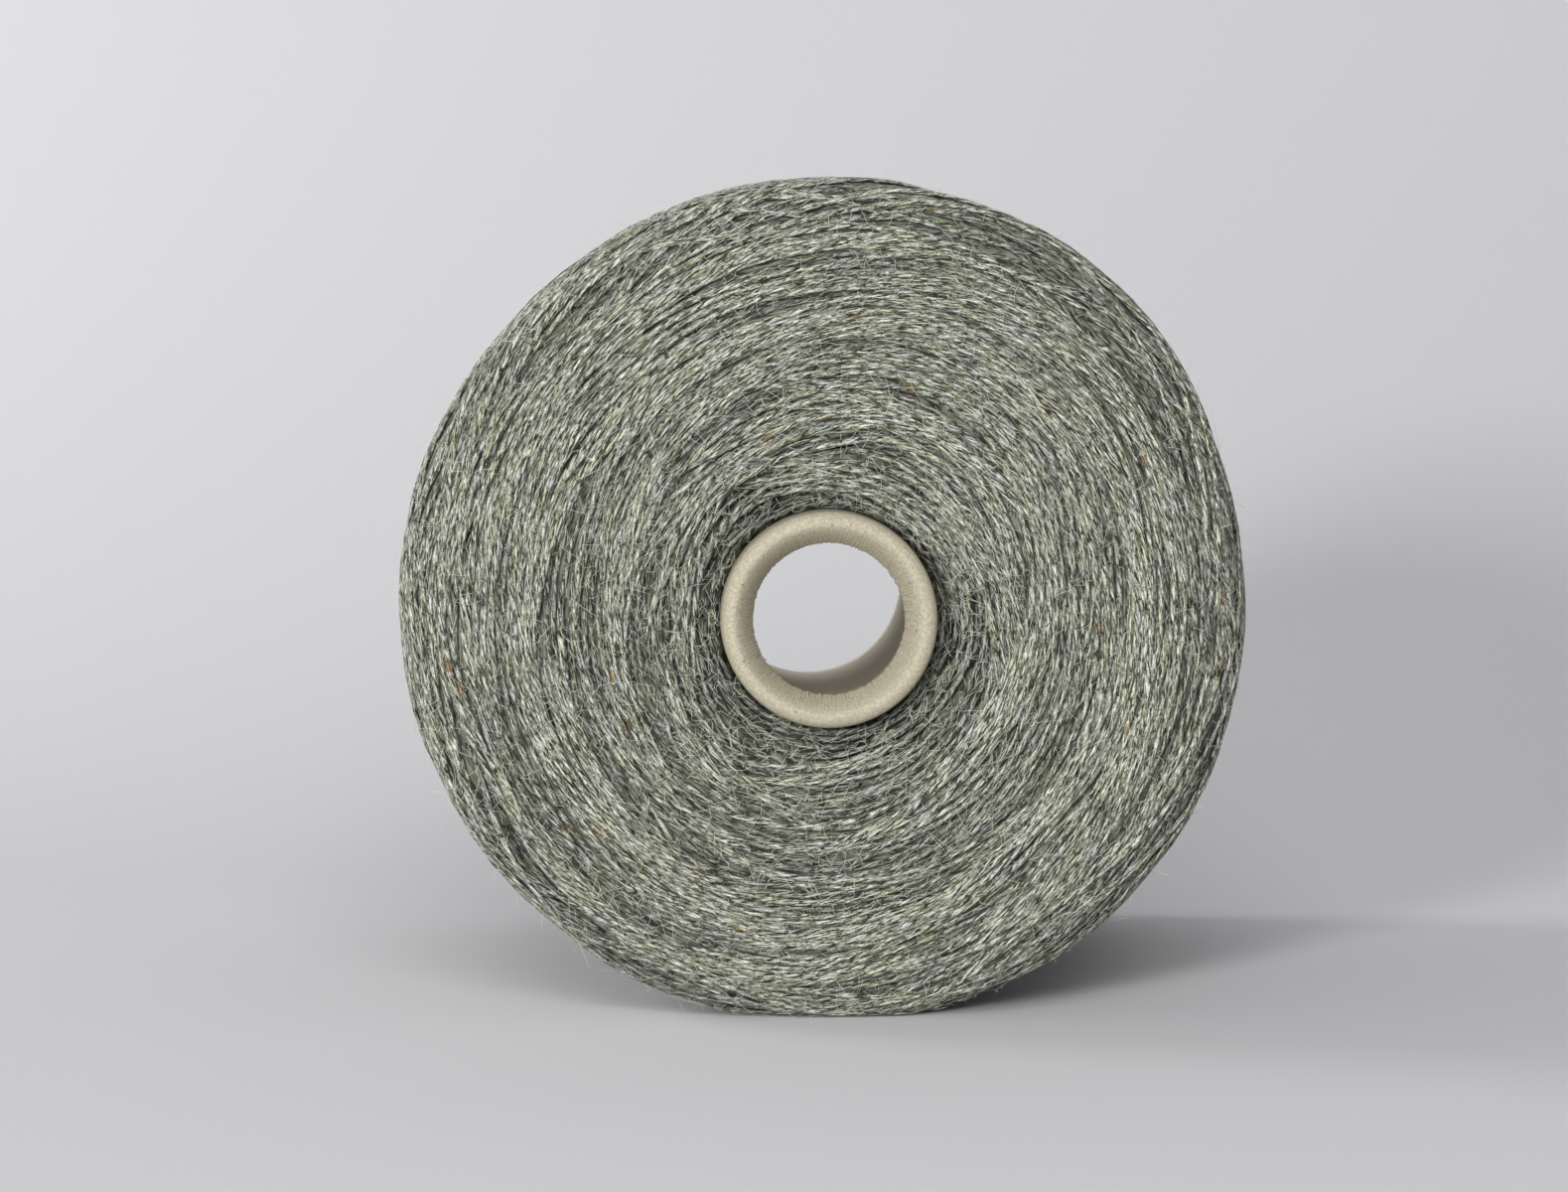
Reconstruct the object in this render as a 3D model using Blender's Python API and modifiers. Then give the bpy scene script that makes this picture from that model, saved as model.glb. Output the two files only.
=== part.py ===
"""Yarn package: wool wound crosswise on a card tube, lying on its side.

Metres, +Z up. The tube's axis runs along Y and its rolled nose points to -Y.
The origin is on the floor, below the middle of the whole package.
Depths are measured along the axis, backwards from the tip of the nose.
"""
import math

import bpy
import numpy as np

MM = 0.001

# Card tube: a rolled paper tube, slightly tapered, with its nose curled inwards
TUBE_LENGTH = 170.0 * MM
NOSE_RADIUS = 17.5 * MM
TUBE_TAPER = math.radians(1.0)
TUBE_WALL = 2.0 * MM
BEAD_RADIUS = 2.6 * MM
CURL_REACH = 1.6 * MM
CURL_STEP = 0.8 * MM
BASE_ROUNDING = 0.5 * MM
BEAD_POINTS = 10

# Wound yarn: the body of turns, gripping the tube
FIT_GAP = 0.3 * MM
FRONT_EDGE_DEPTH = 7.0 * MM
BACK_EDGE_DEPTH = 158.0 * MM
RIM_RADIUS = 69.1 * MM
BARREL_BULGE = 1.9 * MM
SHOULDER_DEPTH = 9.0 * MM
SHOULDER_POWER = 5.0
FACE_CROWN = 3.6 * MM
FACE_CROWN_WIDTH = 9.0 * MM

# How the body has settled: it sags round its tube and is pressed flat on the floor
TUBE_HEIGHT = 65.2 * MM
SAG_SIDEWAYS = -0.7 * MM
SAG_UPWARDS = 2.8 * MM

# Unevenness of the outline, as (angle in degrees, radius added in mm), anticlockwise
# from +X seen from the nose
OUTLINE_LOBES = (
    (10.0, -0.4),
    (45.0, 0.9),
    (92.0, -0.5),
    (132.0, -1.2),
    (175.0, 0.0),
    (220.0, -0.1),
    (270.0, 0.4),
    (320.0, 0.5),
)

# Ridges of the winding: two families of bands of turns that cross at a shallow angle
FACE_RIDGE_HEIGHT = 0.7 * MM
FACE_RIDGE_PITCH = 7.6 * MM
FACE_RIDGE_STARTS = (4, -5)
SIDE_RIDGE_HEIGHT = 0.6 * MM
SIDE_RIDGE_PITCH = 16.5 * MM
SIDE_RIDGE_STARTS = (8, -8)
RIDGE_PHASE = 1.3          # radians by which the second family is out of step
RIDGE_SWELL = 0.2          # share by which a ridge's height comes and goes
RIDGE_SWELLS_ROUND = 3.0   # times that it does so on its way round
RIDGE_SWELL_DRIFT = 0.5    # how far the next ridge's swells are shifted, in its own phase

# Where the ridges fade out
FLOOR_FADE = 7.0 * MM      # height above the floor at which they are full
BORE_FADE = 5.0 * MM       # distance from the tube at which they are full
BORE_PLAIN = 0.2 * MM      # this near the tube there is none
SIDE_FADE_SHARES = (0.7, 0.98)   # shares of the rim's radius at which side ridges start and are full

# Fineness of the turned solids
TURN_STEPS = 72
FRONT_ROWS = 26
SIDE_ROWS = 26
BACK_ROWS = 14
SHOULDER_SAMPLES = 400
OUTWARD_LIMIT = 1.2          # share of the rim's radius up to which settling keeps growing
SEAM_MERGE = 0.02 * MM

WOOL_COLOUR = "7F8176"
CARD_COLOUR = "BCB5A0"
COLLECTION_NAME = "yarn_package"


def clear_scene():
    """Remove whatever the scene holds."""
    for item in list(bpy.data.objects):
        bpy.data.objects.remove(item, do_unlink=True)


def new_collection():
    """A collection named for the object, linked to the scene."""
    collection = bpy.data.collections.new(COLLECTION_NAME)
    bpy.context.scene.collection.children.link(collection)
    return collection


def linear_colour(code):
    """An sRGB hex code as linear red, green, blue and alpha."""
    channels = [int(code[i:i + 2], 16) / 255.0 for i in (0, 2, 4)]
    linear = [c / 12.92 if c <= 0.04045 else ((c + 0.055) / 1.055) ** 2.4 for c in channels]
    return (*linear, 1.0)


def new_material(name, code, roughness):
    """A plain Principled material."""
    material = bpy.data.materials.new(name)
    material.use_nodes = True
    shader = material.node_tree.nodes["Principled BSDF"]
    shader.inputs["Base Color"].default_value = linear_colour(code)
    shader.inputs["Roughness"].default_value = roughness
    shader.inputs["Metallic"].default_value = 0.0
    return material


def smooth_step(value, low, high):
    """0 below low, 1 above high, with an even slope change between."""
    t = np.clip((value - low) / (high - low), 0.0, 1.0)
    return t * t * (3.0 - 2.0 * t)


def tube_outer_radius(depth):
    """Outer radius of the tube at a depth behind the nose tip."""
    return NOSE_RADIUS + max(depth - BEAD_RADIUS, 0.0) * math.tan(TUBE_TAPER)


def turned_object(name, profile, material, collection):
    """Turn a closed profile of (radius, depth) points round the tube's axis.

    The profile is drawn with the nose at the top of local Z, and the object is then
    laid down so that the nose points to -Y.
    """
    count = len(profile)
    half = TUBE_LENGTH / 2
    points = [(radius, 0.0, half - depth) for radius, depth in profile]
    edges = [(i, (i + 1) % count) for i in range(count)]
    mesh = bpy.data.meshes.new(name)
    mesh.from_pydata(points, edges, [])
    item = bpy.data.objects.new(name, mesh)
    collection.objects.link(item)
    screw = item.modifiers.new("Turn", "SCREW")
    screw.axis = "Z"
    screw.angle = math.tau
    screw.steps = TURN_STEPS
    screw.render_steps = TURN_STEPS
    screw.use_merge_vertices = True
    screw.merge_threshold = SEAM_MERGE
    screw.use_smooth_shade = True
    item.rotation_euler = (math.pi / 2, 0.0, 0.0)
    mesh.materials.append(material)
    return item


def card_tube_profile():
    """Curled nose, straight outer wall, cut base and inner wall of the tube."""
    bead_centre = NOSE_RADIUS - BEAD_RADIUS
    hole_radius = bead_centre - BEAD_RADIUS
    curl_depth = BEAD_RADIUS + CURL_REACH
    profile = [(hole_radius, curl_depth)]
    for i in range(BEAD_POINTS + 1):
        angle = math.pi * (1.0 - i / BEAD_POINTS)
        radius = bead_centre + BEAD_RADIUS * math.cos(angle)
        profile.append((radius, BEAD_RADIUS * (1.0 - math.sin(angle))))
    base_outer = tube_outer_radius(TUBE_LENGTH)
    base_inner = base_outer - TUBE_WALL
    profile.append((base_outer, TUBE_LENGTH - BASE_ROUNDING))
    profile.append((base_outer - BASE_ROUNDING, TUBE_LENGTH))
    profile.append((base_inner + BASE_ROUNDING, TUBE_LENGTH))
    profile.append((base_inner, TUBE_LENGTH - BASE_ROUNDING))
    inner_top = curl_depth + 2 * CURL_STEP
    profile.append((tube_outer_radius(inner_top) - TUBE_WALL, inner_top))
    profile.append((hole_radius + CURL_STEP, curl_depth + CURL_STEP))
    return profile


def end_face(bore_radius, edge_depth, inwards, rows):
    """Points from the bore out to the rim of one end face, evenly spaced.

    The face is nearly flat, with a soft round shoulder, and sinks a little where it
    meets the tube. inwards is +1 on the nose side and -1 on the base side.
    """
    fine = np.linspace(0.0, math.pi / 2, SHOULDER_SAMPLES)
    outward = np.sin(fine) ** (2.0 / SHOULDER_POWER)
    fall = 1.0 - np.cos(fine) ** (2.0 / SHOULDER_POWER)
    radius = bore_radius + (RIM_RADIUS - bore_radius) * outward
    crown = 1.0 - np.exp(-(radius - bore_radius) / FACE_CROWN_WIDTH)
    depth = edge_depth + inwards * (SHOULDER_DEPTH * fall - FACE_CROWN * crown)
    run = np.concatenate(([0.0], np.cumsum(np.hypot(np.diff(radius), np.diff(depth)))))
    marks = np.linspace(0.0, run[-1], rows)
    return list(zip(np.interp(marks, run, radius), np.interp(marks, run, depth)))


def wound_yarn_profile():
    """Front face, barrel side and back face; the bore closes the loop."""
    front = end_face(tube_outer_radius(FRONT_EDGE_DEPTH) + FIT_GAP, FRONT_EDGE_DEPTH, 1, FRONT_ROWS)
    back = end_face(tube_outer_radius(BACK_EDGE_DEPTH) + FIT_GAP, BACK_EDGE_DEPTH, -1, BACK_ROWS)
    start = front[-1][1]
    end = back[-1][1]
    side = []
    for i in range(1, SIDE_ROWS):
        t = i / SIDE_ROWS
        side.append((RIM_RADIUS + BARREL_BULGE * 4.0 * t * (1.0 - t), start + (end - start) * t))
    return front + side + back[::-1]


def outline_lobe(angle):
    """Radius added by the outline's unevenness at each angle, with cosine blends."""
    degrees = np.degrees(angle) % 360.0
    added = np.zeros_like(degrees)
    for i, (start, low) in enumerate(OUTLINE_LOBES):
        end, high = OUTLINE_LOBES[(i + 1) % len(OUTLINE_LOBES)]
        span = (end - start) % 360.0
        part = ((degrees - start) % 360.0) / span
        blend = (1.0 - np.cos(math.pi * np.clip(part, 0.0, 1.0))) / 2.0
        added = np.where(part < 1.0, low + (high - low) * blend, added)
    return added * MM


def crossing_ridges(across, angle, pitch, starts):
    """Height from -1 to 1 of two families of bands that cross each other."""
    turn = math.tau * across / pitch
    first = np.cos(turn + starts[0] * angle)
    second = np.cos(turn + starts[1] * angle + RIDGE_PHASE)
    swell = 1.0 + RIDGE_SWELL * (np.cos(RIDGE_SWELLS_ROUND * angle + RIDGE_SWELL_DRIFT * turn) - 1.0)
    return np.maximum(first, second) * swell


def wind_and_settle(points, normals):
    """Raise the ridges, make the outline uneven, and settle the body on the floor.

    points are seen from the tube's axis: x sideways, y along the axis and z up.
    """
    across = np.hypot(points[:, 0], points[:, 2])
    angle = np.arctan2(points[:, 2], points[:, 0])
    depth = points[:, 1] + TUBE_LENGTH / 2
    bore = NOSE_RADIUS + np.maximum(depth - BEAD_RADIUS, 0.0) * math.tan(TUBE_TAPER) + FIT_GAP
    outward = np.clip((across - bore) / (RIM_RADIUS - bore), 0.0, OUTWARD_LIMIT)

    face_share = normals[:, 1] ** 2
    face_share *= smooth_step(across - bore, BORE_PLAIN, BORE_FADE)
    side_share = np.clip(1.0 - normals[:, 1] ** 2, 0.0, 1.0)
    side_share *= smooth_step(outward, *SIDE_FADE_SHARES)
    height = face_share * FACE_RIDGE_HEIGHT * crossing_ridges(
        across, angle, FACE_RIDGE_PITCH, FACE_RIDGE_STARTS)
    height += side_share * SIDE_RIDGE_HEIGHT * crossing_ridges(
        depth, angle, SIDE_RIDGE_PITCH, SIDE_RIDGE_STARTS)
    above_floor = points[:, 2] + SAG_UPWARDS * outward + TUBE_HEIGHT
    height *= smooth_step(above_floor, 0.0, FLOOR_FADE)

    settled = points + normals * height[:, None]
    lobe = outline_lobe(angle) * outward
    settled[:, 0] += lobe * np.cos(angle) + SAG_SIDEWAYS * outward
    settled[:, 2] += lobe * np.sin(angle) + SAG_UPWARDS * outward
    settled[:, 2] = np.maximum(settled[:, 2] + TUBE_HEIGHT, 0.0)
    return settled


def make_card_tube(collection):
    """The tube, with its rolled-in nose."""
    tube = turned_object(
        "card_tube", card_tube_profile(), new_material("grey_card", CARD_COLOUR, 0.75), collection)
    tube.location = (0.0, 0.0, TUBE_HEIGHT)
    return tube


def make_wound_yarn(collection):
    """One solid for all the turns: a turned body, then wound and settled."""
    turned = turned_object(
        "wound_yarn", wound_yarn_profile(), new_material("heather_wool", WOOL_COLOUR, 0.95), collection)
    bpy.context.view_layer.update()
    evaluated = turned.evaluated_get(bpy.context.evaluated_depsgraph_get())
    mesh = bpy.data.meshes.new_from_object(evaluated)
    mesh.transform(turned.matrix_world)
    turned.modifiers.clear()
    turned.rotation_euler = (0.0, 0.0, 0.0)
    turned.data = mesh

    count = len(mesh.vertices)
    points = np.empty(count * 3)
    normals = np.empty(count * 3)
    mesh.vertices.foreach_get("co", points)
    mesh.vertex_normals.foreach_get("vector", normals)
    settled = wind_and_settle(points.reshape(count, 3), normals.reshape(count, 3))
    mesh.vertices.foreach_set("co", settled.ravel())
    mesh.update()
    return turned


def centre_sideways(items, body):
    """Move everything so that the body's widest points lie evenly about x = 0."""
    sideways = [vertex.co.x for vertex in body.data.vertices]
    middle = (min(sideways) + max(sideways)) / 2
    for item in items:
        item.location.x -= middle


def main():
    clear_scene()
    collection = new_collection()
    tube = make_card_tube(collection)
    yarn = make_wound_yarn(collection)
    centre_sideways((tube, yarn), yarn)
    bpy.context.view_layer.update()


main()
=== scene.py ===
# %% [markdown]
# # A yarn cake on a card tube
#
# This lesson dresses the plain model of a machine-wound yarn package. The model has two
# solids: the wound yarn as one body, and the card tube that it grips. Here every turn of
# yarn that shows becomes a real strand, laid on that body, and the tube gets its curled nose.
# Blender works in metres, so MM turns a size in millimetres into metres.

# %% Load the model
import math
from collections import namedtuple

import bmesh
import bpy
import numpy as np
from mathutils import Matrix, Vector
from mathutils.bvhtree import BVHTree


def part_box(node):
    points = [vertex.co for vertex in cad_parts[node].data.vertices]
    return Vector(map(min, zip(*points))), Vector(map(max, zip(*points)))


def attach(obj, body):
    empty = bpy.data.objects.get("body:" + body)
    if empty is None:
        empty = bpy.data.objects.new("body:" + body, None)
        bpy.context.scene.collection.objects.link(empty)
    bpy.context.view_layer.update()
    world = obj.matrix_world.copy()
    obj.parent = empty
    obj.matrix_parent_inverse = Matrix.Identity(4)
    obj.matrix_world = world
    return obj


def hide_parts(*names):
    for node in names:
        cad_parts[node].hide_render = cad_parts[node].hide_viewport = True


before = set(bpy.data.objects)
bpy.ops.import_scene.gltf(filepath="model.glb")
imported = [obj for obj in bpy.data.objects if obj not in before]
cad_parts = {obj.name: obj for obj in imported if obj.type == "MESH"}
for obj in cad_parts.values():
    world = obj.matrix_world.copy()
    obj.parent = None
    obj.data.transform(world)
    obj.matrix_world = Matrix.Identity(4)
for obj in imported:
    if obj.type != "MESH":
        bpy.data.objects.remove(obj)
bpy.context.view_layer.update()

MM = 0.001

# %% [markdown]
# ## Where things are
#
# The tube runs along Y and its curled nose points to -Y. All places are read from the model,
# so the scene keeps fitting if the model changes. The yarn body is read in the same way.

# %% Places read from the model
tube_low, tube_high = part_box("card_tube")
body_low, body_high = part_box("wound_yarn")
AXIS_X = (tube_low[0] + tube_high[0]) / 2
AXIS_Z = (tube_low[2] + tube_high[2]) / 2
NOSE_Y = tube_low[1]
BASE_Y = tube_high[1]
TUBE_LENGTH = BASE_Y - NOSE_Y
BASE_RADIUS = (tube_high[0] - tube_low[0]) / 2
print("tube axis at x", round(AXIS_X / MM, 1), "z", round(AXIS_Z / MM, 1), "mm")

# %% [markdown]
# ## The camera
#
# A long lens looks almost straight along the tube, from just above its height. The nose's
# place and width in the photo fix where the camera stands, and the point where the tube's
# walls seem to meet far away fixes which way it looks.

# %% Camera
PHOTO_WIDTH, PHOTO_HEIGHT = 1579, 1200
NOSE_PIXEL = (835.5, 624.5)
NOSE_WIDTH_PIXELS = 219
VANISHING_PIXEL = (704.5, 395.0)
NOSE_WIDTH = 35 * MM
CAMERA_DISTANCE = 750 * MM
SENSOR_WIDTH = 36.0


def place_camera():
    """A camera that shows the nose at its place in the photo."""
    focal_pixels = NOSE_WIDTH_PIXELS / NOSE_WIDTH * CAMERA_DISTANCE
    middle_x, middle_y = PHOTO_WIDTH / 2, PHOTO_HEIGHT / 2
    pitch = math.atan((middle_y - VANISHING_PIXEL[1]) / focal_pixels)
    yaw = math.atan((middle_x - VANISHING_PIXEL[0]) / focal_pixels * math.cos(pitch))
    ahead = Vector((math.sin(yaw) * math.cos(pitch), math.cos(yaw) * math.cos(pitch), -math.sin(pitch)))
    right = Vector((math.cos(yaw), -math.sin(yaw), 0.0))
    up = right.cross(ahead)
    per_pixel = CAMERA_DISTANCE / focal_pixels
    nose = Vector((AXIS_X, NOSE_Y, AXIS_Z))
    camera = bpy.data.objects.new("camera", bpy.data.cameras.new("camera"))
    bpy.context.scene.collection.objects.link(camera)
    camera.location = (nose - ahead * CAMERA_DISTANCE
                       - right * (NOSE_PIXEL[0] - middle_x) * per_pixel
                       + up * (NOSE_PIXEL[1] - middle_y) * per_pixel)
    camera.rotation_mode = "QUATERNION"
    camera.rotation_quaternion = ahead.to_track_quat("-Z", "Y")
    camera.data.sensor_width = SENSOR_WIDTH
    camera.data.lens = focal_pixels / PHOTO_WIDTH * SENSOR_WIDTH
    bpy.context.scene.camera = camera
    return camera


camera = place_camera()
print("camera height", round(camera.location.z / MM), "mm, lens", round(camera.data.lens), "mm")

# %% [markdown]
# ## Helpers for materials
#
# Colours are written as the hex codes that a paint program shows. Blender works with linear
# light, so one function turns a code into linear values. Another adds a node with its
# settings and its links, and three small ones for sums, products and ramps build on it. That
# keeps each material short to read.


# %% Colour and node helpers
def linear(code):
    """An sRGB hex code as linear red, green, blue and alpha."""
    channels = [int(code[i:i + 2], 16) / 255 for i in (0, 2, 4)]
    return tuple(c / 12.92 if c <= 0.04045 else ((c + 0.055) / 1.055) ** 2.4 for c in channels) + (1.0,)


def add_node(material, kind, settings=None, **inputs):
    """Add a node; an input is a value or another node's output. i0 stands for input number 0."""
    tree = material.node_tree
    node = tree.nodes.new(kind)
    for name, value in (settings or {}).items():
        setattr(node, name, value)
    for name, value in inputs.items():
        numbered = name[0] == "i" and name[1:].isdigit()
        socket = node.inputs[int(name[1:])] if numbered else node.inputs[name]
        if isinstance(value, bpy.types.NodeSocket):
            tree.links.new(value, socket)
        else:
            socket.default_value = value
    return node


def calculate(material, operation, *values):
    """The output of a Math node."""
    numbered = {f"i{k}": value for k, value in enumerate(values)}
    return add_node(material, "ShaderNodeMath", {"operation": operation}, **numbered).outputs[0]


def multiply(material, first, second):
    """The product of two colours; a Mix node has its colours at inputs 6 and 7, output 2."""
    settings = {"data_type": "RGBA", "blend_type": "MULTIPLY"}
    return add_node(material, "ShaderNodeMix", settings, i0=1.0, i6=first, i7=second).outputs[2]


def ramp(material, value, stops):
    """Colours for a value, from pairs of place and hex code."""
    node = add_node(material, "ShaderNodeValToRGB", Fac=value)
    elements = node.color_ramp.elements
    elements.remove(elements[-1])
    elements[0].position = stops[0][0]
    elements[0].color = linear(stops[0][1])
    for place, code in stops[1:]:
        elements.new(place).color = linear(code)
    return node


def new_material(name):
    """A material with its Principled shader, and that shader."""
    material = bpy.data.materials.new(name)
    material.use_nodes = True
    return material, material.node_tree.nodes["Principled BSDF"]


print("the hex code 808080 is", round(linear("808080")[0], 3), "in linear light")

# %% [markdown]
# ## The studio floor
#
# The floor is seamless paper that curves up gently behind the object, so no horizon shows.
# A plane and a wall with a bevelled corner would do too. A strip of faces along a drawn line
# needs no modifier and has its curve where the line says. Plain paper is dull and nearly white.

# %% Floor and backdrop in one sweep
SWEEP_HALF_WIDTH = 4.0
SWEEP_FRONT = -4.0
SWEEP_BACK = 1.55
SWEEP_RADIUS = 1.4
SWEEP_TOP = 3.0
SWEEP_CURVE_STEPS = 24
PAPER_COLOUR = "D6D6D8"
PAPER_ROUGHNESS = 0.9


def make_sweep():
    """A strip of paper: floor, quarter circle, wall."""
    line = [(SWEEP_FRONT, 0.0)]
    for i in range(SWEEP_CURVE_STEPS + 1):
        turn = math.pi / 2 * i / SWEEP_CURVE_STEPS
        line.append((SWEEP_BACK - SWEEP_RADIUS + SWEEP_RADIUS * math.sin(turn),
                     SWEEP_RADIUS * (1 - math.cos(turn))))
    line.append((SWEEP_BACK, SWEEP_TOP))
    points = [(x, y, z) for y, z in line for x in (-SWEEP_HALF_WIDTH, SWEEP_HALF_WIDTH)]
    faces = [(2 * i, 2 * i + 1, 2 * i + 3, 2 * i + 2) for i in range(len(line) - 1)]
    mesh = bpy.data.meshes.new("paper_sweep")
    mesh.from_pydata(points, [], faces)
    mesh.shade_smooth()
    sweep = bpy.data.objects.new("paper_sweep", mesh)
    bpy.context.scene.collection.objects.link(sweep)
    paper, shader = new_material("seamless_paper")
    shader.inputs["Base Color"].default_value = linear(PAPER_COLOUR)
    shader.inputs["Roughness"].default_value = PAPER_ROUGHNESS
    mesh.materials.append(paper)
    print("paper sweep", len(faces), "faces")


make_sweep()

# %% [markdown]
# ## The lights
#
# A soft key light stands low beside the camera on the left, and throws the long shadow to the
# right and back. A broad fill above the camera keeps the floor pale right up to the package, a
# small light brightens the left of the backdrop, and pale surroundings lift the rest. Square
# area lights give soft shadow edges as a studio's softboxes do: the larger the square, the
# softer the edge. Each is placed by two angles and a distance, which is easy to adjust.

# %% Lights
PACKAGE = (AXIS_X, 0.0, AXIS_Z)
LEFT_OF_BACKDROP = (-0.35, 0.7, 0.1)
KEY = {"round": 22, "up": 8, "away": 3.0, "size": 0.4, "power": 79.0, "aim": PACKAGE}
FRONT_FILL = {"round": 0, "up": 25, "away": 2.4, "size": 1.0, "power": 30.0, "aim": PACKAGE}
BACKDROP = {"round": 75, "up": 30, "away": 1.2, "size": 0.5, "power": 9.2, "aim": LEFT_OF_BACKDROP}
SURROUND_COLOUR = "E2E3E6"
SURROUND_STRENGTH = 0.27


def make_light(name, light):
    """A square soft light; round is how far it stands left of the camera's side, in degrees."""
    turn, rise = math.radians(light["round"]), math.radians(light["up"])
    target = Vector(light["aim"])
    way = Vector((-math.sin(turn) * math.cos(rise), -math.cos(turn) * math.cos(rise), math.sin(rise)))
    area = bpy.data.lights.new(name, "AREA")
    area.size = light["size"]
    area.energy = light["power"]
    lamp = bpy.data.objects.new(name, area)
    bpy.context.scene.collection.objects.link(lamp)
    lamp.location = target + way * light["away"]
    lamp.rotation_mode = "QUATERNION"
    lamp.rotation_quaternion = (-way).to_track_quat("-Z", "Y")


make_light("key_light", KEY)
make_light("front_fill", FRONT_FILL)
make_light("backdrop_light", BACKDROP)
surround = bpy.data.worlds.new("surround")
surround.use_nodes = True
background = surround.node_tree.nodes["Background"]
background.inputs["Color"].default_value = linear(SURROUND_COLOUR)
background.inputs["Strength"].default_value = SURROUND_STRENGTH
bpy.context.scene.world = surround
bpy.context.scene.view_settings.view_transform = "Standard"
print("3 lights of", KEY["power"], FRONT_FILL["power"], "and", BACKDROP["power"], "watts")

# %% [markdown]
# ## A map of the wound body
#
# The strands have to lie on the body wherever it swells, sags or is pressed flat. So its
# surface is read once, by rays sent out from inside it, into a grid: round the tube one way,
# and along the body's outline the other way, from the nose bore, over the shoulder, along
# the side, and down the back face. A strand is then a line on this grid.

# %% Read the body's surface
CORNER_RADIUS = 56 * MM
CORNER_DEPTH = 13 * MM
ROUND_STEPS = 240
ALONG_STEPS = 220
BORE_MARGIN = 0.5 * MM
FACE_START_DEPTH = 5.5 * MM   # rays near the bore start this deep, where the bore is still narrow

front_y = body_low[1] + CORNER_DEPTH
face_inside_y = body_low[1] + FACE_START_DEPTH
back_y = body_high[1] - CORNER_DEPTH
bore_front = NOSE_WIDTH / 2 + BORE_MARGIN
bore_back = BASE_RADIUS + BORE_MARGIN
FACE_RUN = CORNER_RADIUS - bore_front
TURN_RUN = CORNER_DEPTH * math.pi / 2
SIDE_RUN = back_y - front_y
BACK_RUN = CORNER_RADIUS - bore_back
SHOULDER = FACE_RUN
SIDE_START = SHOULDER + TURN_RUN
SIDE_END = SIDE_START + SIDE_RUN
BACK_START = SIDE_END + TURN_RUN
MAP_RUN = BACK_START + BACK_RUN


def probe(along):
    """Start (radius, y) and direction (radial, y) of the ray for a place on the outline."""
    if along < SHOULDER:
        return (bore_front + along, face_inside_y), (0.0, -1.0)
    if along < SIDE_START:
        turn = (along - SHOULDER) / TURN_RUN * math.pi / 2
        return (CORNER_RADIUS, front_y), (math.sin(turn), -math.cos(turn))
    if along < SIDE_END:
        return (CORNER_RADIUS, front_y + along - SIDE_START), (1.0, 0.0)
    if along < BACK_START:
        turn = (along - SIDE_END) / TURN_RUN * math.pi / 2
        return (CORNER_RADIUS, back_y), (math.cos(turn), math.sin(turn))
    return (CORNER_RADIUS - (along - BACK_START), back_y), (0.0, 1.0)


def read_surface():
    """Grid of surface points, as an array of (along, round, xyz)."""
    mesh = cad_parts["wound_yarn"].data
    tree = BVHTree.FromPolygons([v.co for v in mesh.vertices], [p.vertices for p in mesh.polygons])
    grid = np.empty((ALONG_STEPS, ROUND_STEPS, 3))
    for i in range(ALONG_STEPS):
        (radius, y), (out, forward) = probe(MAP_RUN * i / (ALONG_STEPS - 1))
        for j in range(ROUND_STEPS):
            angle = math.tau * j / ROUND_STEPS
            c, s = math.cos(angle), math.sin(angle)
            start = Vector((AXIS_X + radius * c, y, AXIS_Z + radius * s))
            hit = tree.ray_cast(start, Vector((out * c, forward, out * s)))[0]
            grid[i, j] = hit if hit is not None else start
    return grid


surface = read_surface()
wrapped = np.concatenate([surface[:, -1:], surface, surface[:, :2]], axis=1)
step_round = (wrapped[:, 2:-1] - wrapped[:, :-3])
step_along = np.gradient(surface, axis=0)
outward = np.cross(step_along, step_round)
outward /= np.linalg.norm(outward, axis=2, keepdims=True)
if (outward[0, :, 1] > 0).mean() > 0.5:
    outward = -outward
print("surface grid", surface.shape, "outline", round(MAP_RUN / MM), "mm long")

# %% [markdown]
# ## Looking up places on the map
#
# A strand needs points between those of the grid. Each is mixed from its four neighbours,
# and so is the direction that points out of the wool there. Arrays do this for a whole strand
# at once, which is much faster than a loop over its points.


# %% Look up places on the map
def on_surface(angle, along):
    """Points and outward directions for arrays of angles (radians) and outline places."""
    a = (np.asarray(angle) / math.tau % 1.0) * ROUND_STEPS
    b = np.clip(np.asarray(along) / MAP_RUN, 0.0, 1.0) * (ALONG_STEPS - 1)
    j = np.floor(a).astype(int)
    i = np.minimum(np.floor(b).astype(int), ALONG_STEPS - 2)
    fa = (a - j)[..., None]
    fb = (b - i)[..., None]
    j0, j1 = j % ROUND_STEPS, (j + 1) % ROUND_STEPS
    found = []
    for grid in (surface, outward):
        low = grid[i, j0] * (1 - fa) + grid[i, j1] * fa
        high = grid[i + 1, j0] * (1 - fa) + grid[i + 1, j1] * fa
        found.append(low * (1 - fb) + high * fb)
    return found[0], found[1] / np.linalg.norm(found[1], axis=-1, keepdims=True)


def distance_from_axis(along):
    """Typical distance from the tube's axis at a place on the outline."""
    (radius, _), (out, _) = probe(float(np.clip(along, 0.0, MAP_RUN)))
    return radius + out * CORNER_DEPTH


print("the side lies about", round(distance_from_axis(SIDE_START) / MM), "mm from the axis")


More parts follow.
